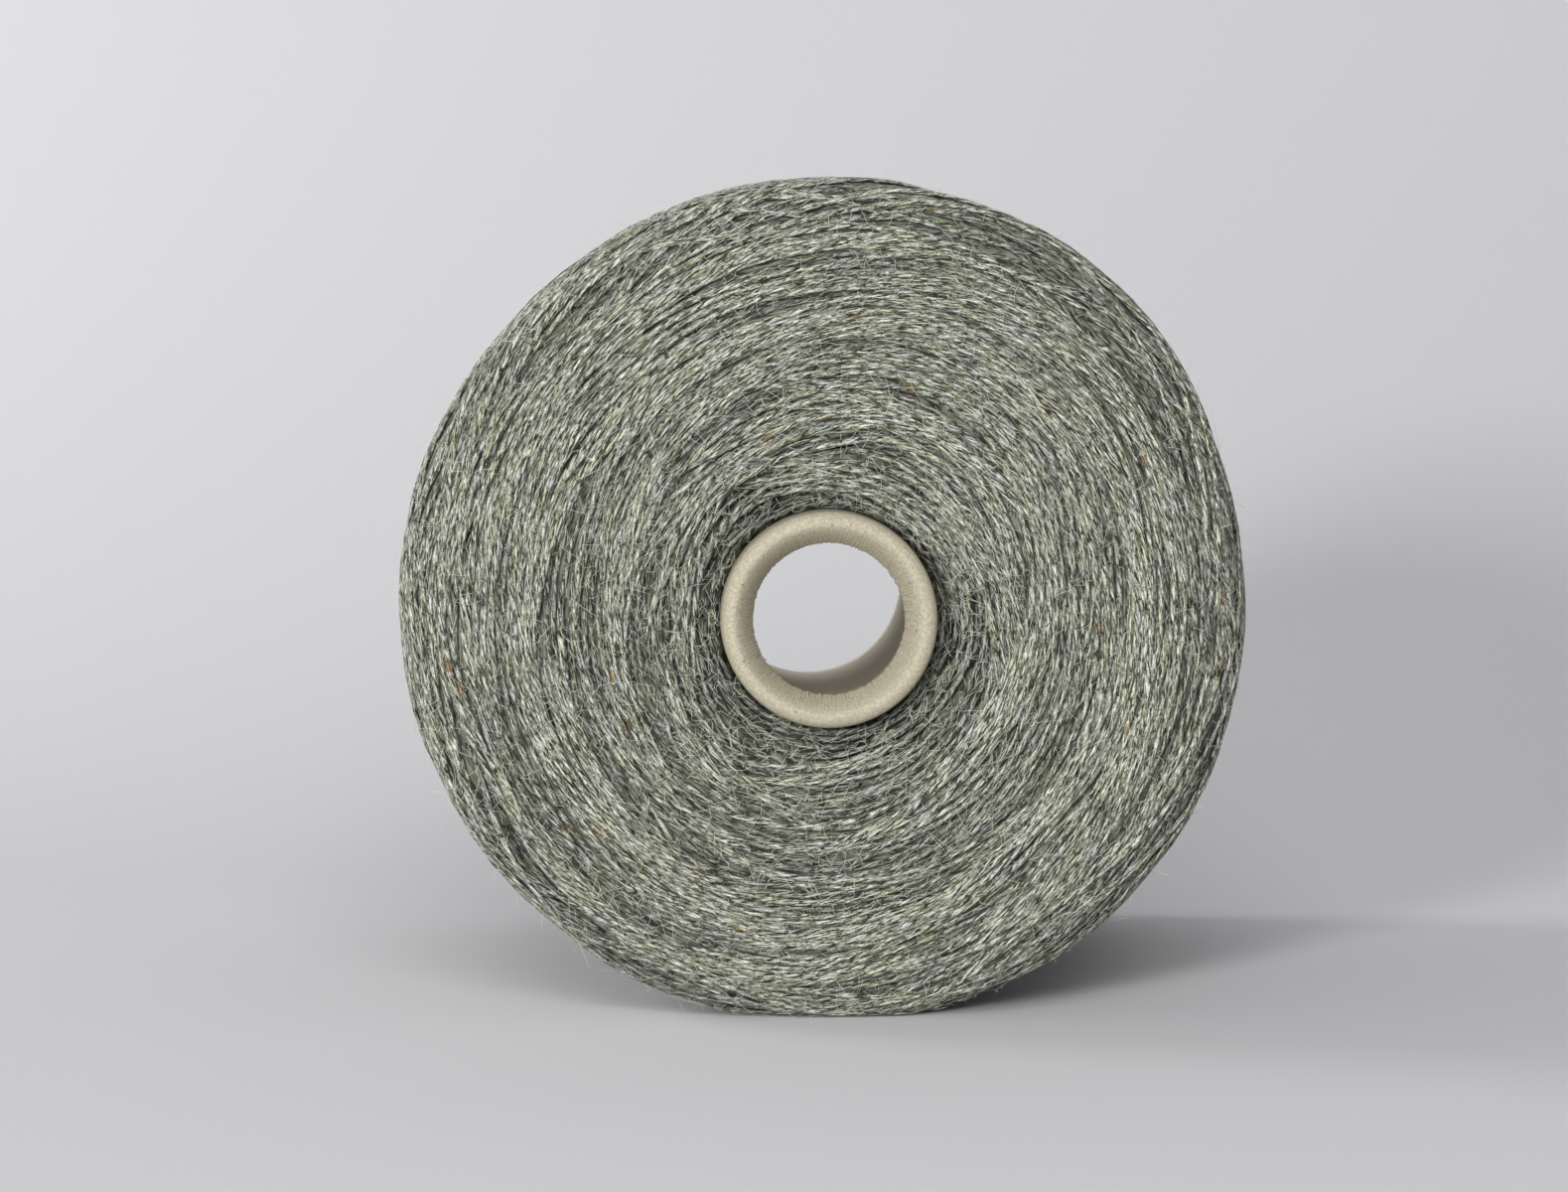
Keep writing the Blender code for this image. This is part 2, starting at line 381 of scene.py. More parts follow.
# %% [markdown]
# ## Strands as one joined mesh
#
# Each strand could be a curve with a bevel, but thousands of curve objects are slow. Here a
# function sweeps a small round section along many strands at once, with arrays, and joins
# them in one mesh. The UV map holds the length along the strand in millimetres and the way
# round it, so that the material can draw fibres at their true size. An attribute tells how
# deep each point lies, so that the material paints shade on buried wool beyond what the gaps
# themselves show. A strand's flanks count as lying deeper, so they get painted shade too.

# %% Sweep many strands into one mesh
STRAND_RADIUS = 0.56 * MM
STRAND_FLATNESS = 0.9    # neighbours press a strand a little flat
FLANK_SHADE = 2.3        # painted shade: a strand's flanks are darkened as if they lay this much deeper
Strand = namedtuple("Strand", "points outward thickness start depth")


def sweep(name, strands, radius=STRAND_RADIUS, sides=6):
    """Join swept tubes in one mesh with UVs and a depth attribute for painted shade."""
    ring = np.arange(sides)
    after = (ring + 1) % sides
    turn = math.tau * ring / sides - math.pi / 2
    # painted shade: extra depth on a strand's flanks, so the material darkens them
    painted_shade = FLANK_SHADE * radius / MM * (1 - np.sin(turn))
    points, quads, uvs, caps, shade_depths, first = [], [], [], [], [], 0
    for strand in strands:
        n = len(strand.points)
        ahead = np.gradient(strand.points, axis=0)
        ahead /= np.linalg.norm(ahead, axis=1, keepdims=True)
        beside = np.cross(ahead, strand.outward)
        beside /= np.linalg.norm(beside, axis=1, keepdims=True)
        above = np.cross(beside, ahead)
        section = (np.cos(turn)[None, :, None] * beside[:, None, :]
                   + STRAND_FLATNESS * np.sin(turn)[None, :, None] * above[:, None, :])
        size = (radius * strand.thickness)[:, None, None]
        points.append((strand.points[:, None, :] + size * section).reshape(-1, 3))
        here = first + np.arange(n - 1)[:, None] * sides
        quads.append(np.stack([here + ring, here + sides + ring, here + sides + after, here + after],
                              axis=2).reshape(-1, 4))
        steps = np.linalg.norm(np.diff(strand.points, axis=0), axis=1) / MM
        run = strand.start + np.concatenate(([0.0], np.cumsum(steps)))
        u0 = np.repeat(run[:-1, None], sides, axis=1)
        u1 = np.repeat(run[1:, None], sides, axis=1)
        v0 = np.repeat(ring[None, :] / sides, n - 1, axis=0)
        v1 = v0 + 1.0 / sides
        uvs.append(np.stack([u0, v0, u1, v0, u1, v1, u0, v1], axis=2).reshape(-1, 2))
        caps.append(first + ring)
        caps.append(first + (n - 1) * sides + ring[::-1])
        shade_depths.append((strand.depth[:, None] / MM + painted_shade[None, :]).ravel())
        first += n * sides
    item = mesh_from_arrays(name, np.concatenate(points), np.concatenate(quads), np.concatenate(uvs),
                            np.array(caps))
    # painted shade: the depth of each point, which the wool's material turns into darkening
    depth = item.data.attributes.new("painted_shade_depth_mm", "FLOAT", "POINT")
    depth.data.foreach_set("value", np.concatenate(shade_depths))
    return item


def mesh_from_arrays(name, points, quads, uvs, caps=None):
    """An object from arrays of points, four-sided faces, their UVs, and flat end caps."""
    caps = np.empty((0, 3), dtype=int) if caps is None else caps
    loops = np.concatenate([quads.ravel(), caps.ravel()]).astype(np.int32)
    cap_starts = quads.size + np.arange(len(caps)) * caps.shape[1]
    starts = np.concatenate([np.arange(len(quads)) * 4, cap_starts])
    mesh = bpy.data.meshes.new(name)
    mesh.vertices.add(len(points))
    mesh.vertices.foreach_set("co", points.ravel())
    mesh.loops.add(len(loops))
    mesh.loops.foreach_set("vertex_index", loops)
    mesh.polygons.add(len(starts))
    mesh.polygons.foreach_set("loop_start", starts.astype(np.int32))
    mesh.polygons.foreach_set("use_smooth", np.ones(len(starts), dtype=bool))
    layer = mesh.uv_layers.new(name="run_and_round")
    layer.data.foreach_set("uv", np.concatenate([uvs, np.zeros((caps.size, 2))]).ravel())
    mesh.update(calc_edges=True)
    item = bpy.data.objects.new(name, mesh)
    bpy.context.scene.collection.objects.link(item)
    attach(item, "root")
    print(name, 2 * len(quads) + len(caps) * max(caps.shape[1] - 2, 0), "triangles")
    return item


# %% [markdown]
# ## Wool yarn
#
# The yarn is woollen spun: two plies of carded wool twisted together. It is a heather, dyed
# in the fleece before spinning, so pale, grey, olive and a few odd bright fibres lie side by
# side. In a balanced yarn the surface fibres run along the yarn, while the grooves between
# the plies wind round it, so the material has streaks one way and grooves the other; the
# grooves are darkened in the colour, as painted shade. A finer noise breaks the streaks up,
# as the short hairs over them do. Wool scatters light softly: it is rough, with a faint sheen
# from its fuzz. Buried wool and the flanks of strands get painted shade in the colour.

# %% Woollen spun yarn material
PLY_TURN = 7.0           # mm of yarn for a full turn of its two plies
FIBRE_LENGTH = 2.4       # mm of strand from one pale tuft of fibres to the next
FIBRE_WIDTH = 0.32       # mm, the same across the strand
FIBRE_TILT = 0.35        # share of the ply twist that the surface fibres follow
FIBRE_NOISE = {"Scale": 1.0, "Detail": 3.0, "Roughness": 0.65, "Distortion": 0.5}
FUZZ_LENGTH = 0.7        # mm, grain of the short hairs over the fibres
FUZZ_WIDTH = 0.3         # mm
FUZZ_SHARE = 0.3
FUZZ_NOISE = {"Scale": 1.0, "Detail": 2.0, "Distortion": 1.0}
HEATHER = ((0.385, "17180D"), (0.45, "464839"), (0.50, "828475"), (0.555, "B0B1A7"), (0.63, "D9D9D3"))
TONE_LENGTH = 9.0        # mm between greener and greyer stretches
TONES = ((0.34, "E5E6E9"), (0.50, "ECEDE8"), (0.66, "E8EADA"))
FLECK_LENGTH = 2.0       # mm, an odd tuft of another colour
FLECKS_ROUND = 3         # places for such a tuft round the strand
FLECKS = ((0.0, "FFFFFF"), (0.9955, "DCC0A4"), (0.9975, "E4DDA6"), (0.9990, "A9C6C4"))
SHADE_TOP = 1.0          # mm deep: no painted shade above this depth
SHADE_DEEP = 2.1         # mm deep: full painted shade from this depth on
NO_SHADE = "FFFFFF"
PAINTED_SHADE_COLOUR = "25261A"    # painted shade at full depth: the share of each colour that is left there, tinted olive
GROOVE_WIDTH = 0.5       # of the wave that runs from one groove between the plies to the next
GROOVE_PAINTED_SHADE = 0.55      # painted shade: share of the colour that is left in the groove
TUFT_RELIEF = 0.9        # height of the tufts, where that of a ply is 1
PLY_BUMP = {"Strength": 0.7, "Distance": 0.2 * MM}
WOOL_SURFACE = {"Roughness": 0.9, "Specular IOR Level": 0.2, "Sheen Weight": 0.15, "Sheen Roughness": 0.5}


def grain_of(material, x, y, noise):
    """A flat noise over two lengths that are counted in grains."""
    place = add_node(material, "ShaderNodeCombineXYZ", X=x, Y=y)
    return add_node(material, "ShaderNodeTexNoise", {"noise_dimensions": "2D"},
                    Vector=place.outputs[0], **noise).outputs["Fac"]


def heather_colour(material, run, way, grain):
    """Mixed fibres, with greener and greyer stretches and a rare odd tuft."""
    tufts = ramp(material, grain, HEATHER).outputs[0]
    tone_run = calculate(material, "DIVIDE", run, TONE_LENGTH)
    tone = add_node(material, "ShaderNodeTexNoise", {"noise_dimensions": "1D"}, W=tone_run, Scale=1.0,
                    Detail=2.0)
    tinted = multiply(material, tufts, ramp(material, tone.outputs["Fac"], TONES).outputs[0])
    fleck_run = calculate(material, "DIVIDE", run, FLECK_LENGTH)
    fleck_way = calculate(material, "MULTIPLY", way, FLECKS_ROUND)
    fleck_at = add_node(material, "ShaderNodeCombineXYZ", X=fleck_run, Y=fleck_way)
    cell = add_node(material, "ShaderNodeVectorMath", {"operation": "FLOOR"}, i0=fleck_at.outputs[0])
    chance = add_node(material, "ShaderNodeTexWhiteNoise", {"noise_dimensions": "2D"}, i0=cell.outputs[0])
    fleck = ramp(material, chance.outputs["Value"], FLECKS)
    fleck.color_ramp.interpolation = "CONSTANT"
    return multiply(material, tinted, fleck.outputs[0])


def painted_depth_shade(material):
    """Painted shade: the share of the colour that is left at the wool's depth."""
    depth = add_node(material, "ShaderNodeAttribute", {"attribute_name": "painted_shade_depth_mm"})
    painted_shade = add_node(material, "ShaderNodeMapRange", i0=depth.outputs["Fac"], i1=SHADE_TOP, i2=SHADE_DEEP)
    return add_node(material, "ShaderNodeMix", {"data_type": "RGBA"}, i0=painted_shade.outputs[0],
                    i6=linear(NO_SHADE), i7=linear(PAINTED_SHADE_COLOUR)).outputs[2]


def wool_material():
    """Heather woollen yarn: tufts of pale, grey and olive fibre on a two-ply twist."""
    wool, shader = new_material("woollen_spun_heather_yarn")
    uv = add_node(wool, "ShaderNodeUVMap", {"uv_map": "run_and_round"})
    split = add_node(wool, "ShaderNodeSeparateXYZ", i0=uv.outputs[0])
    run, way = split.outputs["X"], split.outputs["Y"]
    round_strand = math.tau * STRAND_RADIUS / MM

    turn = calculate(wool, "DIVIDE", run, PLY_TURN)
    lean = calculate(wool, "MULTIPLY_ADD", turn, -FIBRE_TILT, way)
    along = calculate(wool, "DIVIDE", run, FIBRE_LENGTH)
    across = calculate(wool, "MULTIPLY", lean, round_strand / FIBRE_WIDTH)
    fibres = grain_of(wool, along, across, FIBRE_NOISE)
    fuzz_run = calculate(wool, "DIVIDE", run, FUZZ_LENGTH)
    fuzz_way = calculate(wool, "MULTIPLY", way, round_strand / FUZZ_WIDTH)
    fuzz = grain_of(wool, fuzz_run, fuzz_way, FUZZ_NOISE)
    mixed = add_node(wool, "ShaderNodeMix", {"data_type": "FLOAT"}, i0=FUZZ_SHARE, i2=fibres, i3=fuzz)
    grain = mixed.outputs[0]

    phase = calculate(wool, "SUBTRACT", way, turn)
    wave = calculate(wool, "COSINE", calculate(wool, "MULTIPLY", phase, math.tau))
    ply = calculate(wool, "ABSOLUTE", wave)
    # painted shade: the grooves between the plies are darkened in the colour
    groove = add_node(wool, "ShaderNodeMapRange", i0=ply, i1=0.0, i2=GROOVE_WIDTH, i3=GROOVE_PAINTED_SHADE, i4=1.0)
    # painted shade: buried wool and strand flanks are darkened in the colour
    lit = multiply(wool, heather_colour(wool, run, way, grain), painted_depth_shade(wool))
    colour = multiply(wool, lit, groove.outputs[0])
    wool.node_tree.links.new(colour, shader.inputs["Base Color"])

    relief = calculate(wool, "MULTIPLY_ADD", grain, TUFT_RELIEF, ply)
    bump = add_node(wool, "ShaderNodeBump", Height=relief, **PLY_BUMP)
    wool.node_tree.links.new(bump.outputs[0], shader.inputs["Normal"])
    for name, value in WOOL_SURFACE.items():
        shader.inputs[name].default_value = value
    return wool


wool = wool_material()
print(wool.name, "has", len(wool.node_tree.nodes), "nodes")

# %% [markdown]
# ## The body below the strands
#
# Between the turns one sees older turns, and behind them shadow. A copy of the body, set
# in a little, closes every gap with wool painted dark as shade, and stands for the model's
# plain solid. The corners that facets share are merged first: otherwise each facet would move
# by itself and open cracks. Near the tube the copy lies deeper, because the turns lie loosest there.

# %% Material of the inner body
OLD_TURN_WIDTH = 0.8 * MM
OLD_TUFTS = 14.0         # tufts of fibre in one radian round the tube
# streaks of wool round the tube, painted dark as shade
DEEP_WOOL_PAINTED_SHADE = ((0.38, "1D1E15"), (0.62, "6A6C5D"))
OLD_WOOL_ROUGHNESS = 0.95


def deep_wool_material():
    """Older turns deep between the others: streaks that run round the tube, painted dark as shade."""
    deep, shader = new_material("wool_deep_in_painted_shade")
    places = add_node(deep, "ShaderNodeTexCoord")
    centred = add_node(deep, "ShaderNodeVectorMath", {"operation": "SUBTRACT"}, i0=places.outputs["Object"],
                       i1=(AXIS_X, 0.0, AXIS_Z))
    split = add_node(deep, "ShaderNodeSeparateXYZ", i0=centred.outputs[0])
    x, y, z = split.outputs["X"], split.outputs["Y"], split.outputs["Z"]
    flat = add_node(deep, "ShaderNodeCombineXYZ", X=x, Z=z)
    away = add_node(deep, "ShaderNodeVectorMath", {"operation": "LENGTH"}, i0=flat.outputs[0])
    across = calculate(deep, "DIVIDE", away.outputs["Value"], OLD_TURN_WIDTH)
    back = calculate(deep, "DIVIDE", y, OLD_TURN_WIDTH)
    way = calculate(deep, "MULTIPLY", calculate(deep, "ARCTAN2", z, x), OLD_TUFTS)
    place = add_node(deep, "ShaderNodeCombineXYZ", X=across, Y=back, Z=way)
    noise = add_node(deep, "ShaderNodeTexNoise", i0=place.outputs[0], Scale=1.0, Detail=2.0)
    colour = ramp(deep, noise.outputs["Fac"], DEEP_WOOL_PAINTED_SHADE).outputs[0]
    deep.node_tree.links.new(colour, shader.inputs["Base Color"])
    shader.inputs["Roughness"].default_value = OLD_WOOL_ROUGHNESS
    return deep


# %% Inner body
BODY_INSET = 1.25 * MM
MERGE_DISTANCE = 0.001 * MM
BORE_BAND = 1.0 * MM     # points this close to the tube only sink along it
BORE_INSET = 1.5 * MM    # added to the inset next to the tube
BORE_INSET_RUN = 12 * MM


def make_inner_body():
    """A closed copy of the wound body, shrunk along its normals."""
    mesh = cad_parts["wound_yarn"].data.copy()
    mesh.materials.clear()
    joined = bmesh.new()
    joined.from_mesh(mesh)
    bmesh.ops.remove_doubles(joined, verts=joined.verts, dist=MERGE_DISTANCE)
    joined.to_mesh(mesh)
    joined.free()
    points = np.empty(len(mesh.vertices) * 3)
    normals = np.empty(len(mesh.vertices) * 3)
    mesh.vertices.foreach_get("co", points)
    mesh.vertex_normals.foreach_get("vector", normals)
    points, normals = points.reshape(-1, 3), normals.reshape(-1, 3)
    away = np.hypot(points[:, 0] - AXIS_X, points[:, 2] - AXIS_Z)
    inset = BODY_INSET + BORE_INSET * np.clip(1 - (away - bore_front) / BORE_INSET_RUN, 0.0, 1.0)
    at_bore = away <= BASE_RADIUS + BORE_BAND
    sink = np.sign(points[:, 1]) * inset
    points = points - normals * np.where(at_bore, 0.0, inset)[:, None]
    points[at_bore, 1] -= sink[at_bore]
    mesh.vertices.foreach_set("co", points.ravel())
    mesh.update()
    mesh.shade_smooth()
    mesh.materials.append(deep_wool_material())
    item = bpy.data.objects.new("wool_body", mesh)
    bpy.context.scene.collection.objects.link(item)
    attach(item, "root")
    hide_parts("wound_yarn")
    print("wool_body", len(mesh.polygons), "triangles, set in by", round(BODY_INSET / MM, 2), "mm or more")


make_inner_body()

# %% [markdown]
# ## How the turns lie on an end face
#
# The winder lays the yarn to and fro along the tube. At each end the yarn turns back, so an
# end face is made of arcs: each comes up from between other turns, runs part of the way
# round the tube, and dives again. Rows of arcs swing outwards and inwards on their way
# round, because the package isn't wound quite round. First comes a closed layer of rows,
# then loose bands of a few strands each, which cross at a few degrees and leave the dark
# wedges between them.

# %% Swing of the rows and the shape of one strand
FACE_LEAN = (  # angle from +X in degrees, lean outwards in degrees
    (0, 3.5), (30, 7.5), (60, 2.0), (90, -8.0), (120, -5.5), (150, -2.5),
    (180, 0.5), (210, 4.0), (240, 3.5), (270, -4.0), (300, -4.5), (330, 1.0),
)
SWING_FADE = 10 * MM
CROSSING = math.radians(3.6)
CROSSING_AT_BORE = math.radians(13)
CHORD_FADE = 20 * MM     # within this of the bore, bands run as straighter, untidier chords
NEAR_BORE_MESS = 2.5
DIVE = 1.7 * MM
DIVE_POWER = 12          # a high power keeps the strand up until just before its end
STRAND_PITCH = 1.3 * MM
KEEP_OUT = 0.15 * MM     # a strand comes no nearer to the bore's edge than this
KEEP_OUT_EASE = 0.5 * MM
THICKNESS_SPREAD = 0.13  # carded wool spins a little uneven
THICKNESS_KNOTS = 9
LOWEST_CENTRE = 1.1      # strand radii above the floor
YARN_ON_CONE = 5000      # mm: each strand starts somewhere else on the yarn
WAVE_PARTS = (1.0, 0.6, 0.4)
STRETCH = (0.7, 1.4)     # how much each part of a wave may be drawn out
FEWEST_POINTS = 6


def make_swing():
    """The share by which a row's distance from the axis grows at each degree."""
    degrees = np.arange(361)
    places = [place for place, _ in FACE_LEAN] + [360]
    leans = [lean for _, lean in FACE_LEAN] + [FACE_LEAN[0][1]]
    slope = np.tan(np.radians(np.interp(degrees, places, leans)))
    slope -= slope[:-1].mean()
    shape = np.concatenate(([0.0], np.cumsum((slope[1:] + slope[:-1]) / 2))) * math.radians(1)
    return shape - shape.mean()


SWING = make_swing()


def swing(angle, along):
    """How far a row is pushed outwards at an angle, in metres."""
    share = np.interp(np.degrees(angle) % 360, np.arange(361), SWING)
    fade = np.clip(along / SWING_FADE, 0.0, 1.0)
    return share * distance_from_axis(along) * fade


def wander(rng, place, size, wave):
    """A gentle random wave along a strand."""
    total = np.zeros_like(place)
    for part in WAVE_PARTS:
        drawn_out = wave * part * rng.uniform(*STRETCH)
        total += part * np.sin(place / drawn_out + rng.uniform(0, math.tau))
    return size * total


def lay(rng, angle, along, depth):
    """One strand on the body, from its places on the map and how deep it lies."""
    along = KEEP_OUT + np.logaddexp(0.0, (along - KEEP_OUT) / KEEP_OUT_EASE) * KEEP_OUT_EASE
    points, normals = on_surface(angle, along)
    n = len(points)
    knots = rng.uniform(-1, 1, THICKNESS_KNOTS)
    uneven = np.interp(np.arange(n), np.linspace(0, n, THICKNESS_KNOTS), knots)
    points = points - normals * depth[:, None]
    points[:, 2] = np.maximum(points[:, 2], STRAND_RADIUS * LOWEST_CENTRE)
    return Strand(points, normals, 1.0 + THICKNESS_SPREAD * uneven, rng.uniform(0, YARN_ON_CONE), depth)


def dive(place, length):
    """Extra depth near both ends of a strand."""
    return DIVE * np.clip(np.abs(place) / (length / 2), 0, 1) ** DIVE_POWER


print("rows swing by up to", round(100 * float(np.abs(SWING).max()), 1), "% of their radius")

# %% [markdown]
# ## A closed layer of rows
#
# Rows lie side by side over the whole face, one strand apart, so the face has no holes. Each
# row is made of a few arcs, because on the real package no turn stays in the outer layer all
# the way round. Neighbouring arcs overlap at their ends, where one dives below the other.

# %% Closed layer of rows
ARCS_IN_ROW = (3, 6)     # at least the first number, fewer than the second
MARK_JITTER = 0.25       # of an arc's share of the circle
ARC_OVERLAP = 16 * MM    # neighbouring arcs of a row lie side by side for this long
GAP_RUN = 7 * MM         # within this of the bore, some arcs are missing and leave dark gaps
GAP_SHARE = 0.25
STRAND_WANDER = 0.07 * MM
ROW_WAVE = 6 * MM
ROW_TILT = math.radians(0.15)
ROW_JITTER = 0.2         # mm up or down


def rows_of_arcs(rng, first, last, depth, segment):
    """Rows side by side round the tube, each made of a few arcs that overlap at their ends."""
    strands = []
    for row in np.arange(first, last, STRAND_PITCH):
        away = distance_from_axis(row)
        arcs = int(rng.integers(*ARCS_IN_ROW))
        first_mark = rng.uniform(0, math.tau)
        jitter = rng.uniform(-MARK_JITTER, MARK_JITTER, arcs)
        marks = first_mark + math.tau * (np.arange(arcs) + jitter) / arcs
        ends = np.roll(marks, -1)
        ends[-1] += math.tau
        for start, end in zip(marks, ends):
            if row < GAP_RUN and rng.random() < GAP_SHARE:
                continue
            length = (end - start) * away + ARC_OVERLAP
            n = max(int(length / segment), FEWEST_POINTS)
            place = np.linspace(-0.5, 0.5, n) * length
            angle = (start + end) / 2 + place / away
            loose = 1 + NEAR_BORE_MESS * max(0.0, 1 - row / CHORD_FADE)
            line = row + swing(angle, row) + wander(rng, place, STRAND_WANDER * loose, ROW_WAVE)
            line += rng.normal(0, ROW_TILT) * place
            deep = depth + rng.uniform(-ROW_JITTER, ROW_JITTER) * MM + dive(place, length)
            strands.append(lay(rng, angle, line, deep))
    return strands


# %% [markdown]
# ## Loose bands that cross
#
# Over the rows lie bands of one to five strands, which follow the same swing but cross it at
# a few degrees. They give the face its woven look and leave narrow dark wedges. Their places
# come from a sequence that fills an area evenly without a visible pattern, and they are added
# until their length covers the wanted share of the face.

# %% Loose bands that cross
BAND_WANDER = 0.2 * MM
BAND_WAVE = 9 * MM
BAND_STRAND_WAVE = 4 * MM
BAND_STRAIGHTENING = (0.2, 0.9)   # of the curve round the tube, next to the bore
PITCH_SPREAD = 0.12
PITCH_WAVE = 15 * MM
BAND_JITTER = 0.25       # mm deeper
END_SHIFT = 0.08         # of the band's length
BAND_LENGTH = (35, 110)  # mm
FULL_LENGTH_FROM = 45 * MM        # from the axis; shorter bands within that
BAND_STRANDS = [1, 2, 3, 4, 5]
BAND_STRANDS_CHANCE = [0.15, 0.3, 0.3, 0.15, 0.1]
EVEN_START = (0.37, 0.11)
EVEN_STEP = (0.7548776662, 0.5698402910)   # spreads points evenly in two directions


def band(rng, angle, along, slope, length, count, depth, segment):
    """A few strands side by side, which follow one line over the rows."""
    away = distance_from_axis(along)
    n = max(int(length / segment), FEWEST_POINTS)
    place = np.linspace(-0.5, 0.5, n) * length
    angles = angle + place / away
    loose = 1 + NEAR_BORE_MESS * max(0.0, 1 - along / CHORD_FADE)
    straight = rng.uniform(*BAND_STRAIGHTENING) * max(0.0, 1 - along / CHORD_FADE)
    line = along + swing(angles, along) - swing(angle, along) + np.tan(slope) * place
    line = line + straight * place ** 2 / (2 * away) + wander(rng, place, BAND_WANDER * loose, BAND_WAVE)
    pitch = STRAND_PITCH * (1 + PITCH_SPREAD * np.sin(place / PITCH_WAVE + rng.uniform(0, math.tau)))
    strands = []
    for k in range(count):
        own = line + k * pitch + wander(rng, place, STRAND_WANDER * loose, BAND_STRAND_WAVE)
        deep = depth + rng.uniform(0, BAND_JITTER) * MM + dive(place, length)
        shift = rng.uniform(-END_SHIFT, END_SHIFT) * length / away
        strands.append(lay(rng, angles + shift, own, deep))
    return strands


def length_of(strands):
    """Length of all the strands together, in metres."""
    return sum(np.linalg.norm(np.diff(s.points, axis=0), axis=1).sum() for s in strands)


def bands_on_face(rng, coverage, depth_range, segment, back=False):
    """Bands spread evenly over an end face until they cover a share of it."""
    inner = bore_back if back else bore_front
    outer = CORNER_RADIUS + CORNER_DEPTH
    wanted = math.pi * (outer ** 2 - inner ** 2) * coverage / STRAND_PITCH
    strands, made, i = [], 0.0, 0
    while made < wanted:
        even = (EVEN_START[0] + i * EVEN_STEP[0]) % 1.0
        away = math.sqrt(inner ** 2 + even * (outer ** 2 - inner ** 2))
        past_corner = (away - CORNER_RADIUS) * math.pi / 2
        from_bore = away - inner if away < CORNER_RADIUS else FACE_RUN + past_corner
        along = MAP_RUN - from_bore if back else from_bore
        angle = math.tau * ((EVEN_START[1] + i * EVEN_STEP[1]) % 1.0)
        length = rng.uniform(*BAND_LENGTH) * MM * min(1.0, away / FULL_LENGTH_FROM)
        count = int(rng.choice(BAND_STRANDS, p=BAND_STRANDS_CHANCE))
        near = max(0.0, 1 - from_bore / CHORD_FADE)
        slope = rng.normal(0, CROSSING + near * (CROSSING_AT_BORE - CROSSING))
        depth = rng.uniform(*depth_range)
        made_now = band(rng, angle, along, slope, length, count, depth, segment)
        made += length_of(made_now)
        strands += made_now
        i += 1
    return strands


# %% [markdown]
# ## Turns on both end faces
#
# The front face gets the closed rows, a low layer of bands and a top layer. The back face is
# seldom seen close up, so one layer of bands over the rows and longer segments will do there.
# The rows go on a little over the shoulder, until the laps of the side take over.

# %% Turns of the front face
ROWS_DEPTH = 1.2 * MM
LOW_BANDS = (0.8 * MM, 1.05 * MM)
TOP_BANDS = (0.4 * MM, 0.7 * MM)
FIRST_ROW = 0.1 * MM
ROWS_OVER_SHOULDER = 13 * MM
ROW_SEGMENT = 2.4 * MM
BAND_SEGMENT = 1.8 * MM
LOW_COVERAGE = 1.0       # of the face's area
TOP_COVERAGE = 1.35
SEED = 21


def add_strands(name, strands, sides=6):
    """Sweep strands, dress them, and give them to the wool."""
    item = sweep(name, strands, sides=sides)
    item.data.materials.append(wool)
    print("  ", len(strands), "strands,", round(length_of(strands), 1), "m")


rng = np.random.default_rng(SEED)
front_rows = rows_of_arcs(rng, FIRST_ROW, SHOULDER + ROWS_OVER_SHOULDER, ROWS_DEPTH, ROW_SEGMENT)
add_strands("front_rows", front_rows, sides=5)
add_strands("front_low_bands", bands_on_face(rng, LOW_COVERAGE, LOW_BANDS, BAND_SEGMENT))
add_strands("front_top_bands", bands_on_face(rng, TOP_COVERAGE, TOP_BANDS, BAND_SEGMENT))

# %% Turns of the back face
LAST_ROW = 0.5 * MM      # before the back bore
BACK_ROW_SEGMENT = 3.0 * MM
BACK_BAND_SEGMENT = 2.5 * MM
BACK_COVERAGE = 1.1

back_rows = rows_of_arcs(rng, BACK_START - ROWS_OVER_SHOULDER, MAP_RUN - LAST_ROW, ROWS_DEPTH,
                         BACK_ROW_SEGMENT)
add_strands("back_rows", back_rows, sides=5)
back_bands = bands_on_face(rng, BACK_COVERAGE, TOP_BANDS, BACK_BAND_SEGMENT, back=True)
add_strands("back_bands", back_bands, sides=5)

# %% [markdown]
# ## Laps along the side
#
# On the side each lap of yarn runs from one end to the other at a steep pitch and turns back
# over the shoulder, so laps cross in a net of long diamonds. The winder lays a few laps side
# by side before it moves on. The lowest layer here is closed, and the two above it are loose.

# %% Laps along the side
WIND_ANGLE = math.radians(13)
TURN_WIDTH = 4 * MM
TAIL = 45 * MM
SIDE_UNDER = (1.05 * MM, 1.3 * MM)
SIDE_OVER = (0.65 * MM, 0.9 * MM)
SIDE_TOP = (0.4 * MM, 0.55 * MM)
LAP_STEP = 6 * MM
LAP_END = (3, 17)        # mm past the shoulder, where a lap turns back
LAP_WANDER = 0.12 * MM
LAP_WAVE = 12 * MM
GROUP_JITTER = 0.3       # of the distance between two groups
LAP_JITTER = 0.2         # mm deeper


def lap(rng, angle, direction, depth, segment):
    """One traverse from the front shoulder to the back shoulder, with both turns."""
    front = SHOULDER + rng.uniform(*LAP_END) * MM
    back = BACK_START - rng.uniform(*LAP_END) * MM
    rise = math.tan(WIND_ANGLE)
    length = (back - front + 2 * TURN_WIDTH) / rise
    place = np.linspace(-TAIL, length + TAIL, int((length + 2 * TAIL) / segment))
    from_front = front - TURN_WIDTH + np.hypot(TURN_WIDTH, place * rise)
    from_back = back + TURN_WIDTH - np.hypot(TURN_WIDTH, (length - place) * rise)
    along = np.where(place < length / 2, from_front, from_back) + wander(rng, place, LAP_WANDER, LAP_WAVE)
    angles = angle + direction * place / (CORNER_RADIUS + CORNER_DEPTH)
    deep = depth + dive(place - length / 2, length + 2 * TAIL)
    return lay(rng, angles, along, deep)


